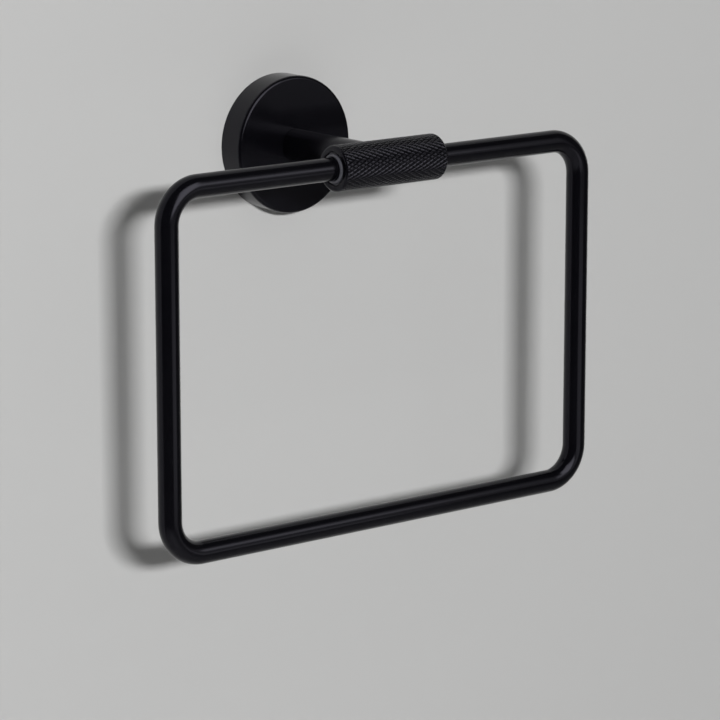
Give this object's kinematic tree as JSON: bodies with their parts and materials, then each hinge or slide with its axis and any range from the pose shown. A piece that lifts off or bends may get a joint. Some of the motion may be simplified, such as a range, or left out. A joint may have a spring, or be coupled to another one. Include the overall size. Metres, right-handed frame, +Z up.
{
  "type": "towel ring",
  "caption": "Wall-mounted rectangular towel ring of round bar, swinging in a diamond-knurled barrel on a short post and round rose.",
  "frame": {"origin": "centre of the round rose on the wall's surface", "axes": "+X along the wall to the right as seen from the front, +Y into the wall, +Z up; the hoop hangs towards -Z in front of the wall at negative Y"},
  "size_m": [0.211, 0.0775, 0.172],
  "materials": {
    "black_coat": "satin black coating on metal",
    "black_nylon": "moulded, smooth matte",
    "plated_steel": "dull plated",
    "blackened_steel": "blackened, slightly oily"
  },
  "bodies": {
    "fixing": {"rose_cover": "black_coat", "wall_bracket": "plated_steel", "rose_grub_screw": "blackened_steel", "post": "black_coat", "post_washer": "plated_steel", "post_bolt": "plated_steel", "knurled_barrel": "black_coat", "bush_left": "black_nylon", "bush_right": "black_nylon"},
    "ring": {"hoop": "black_coat", "hoop_dowel": "plated_steel"}
  },
  "joints": [
    {"name": "hoop_swing", "type": "hinge", "parent": "fixing", "child": "ring", "pos_m": [0, -0.0685, 0], "axis": [-1, 0, 0], "range_deg": [-27, 207]}
  ]
}
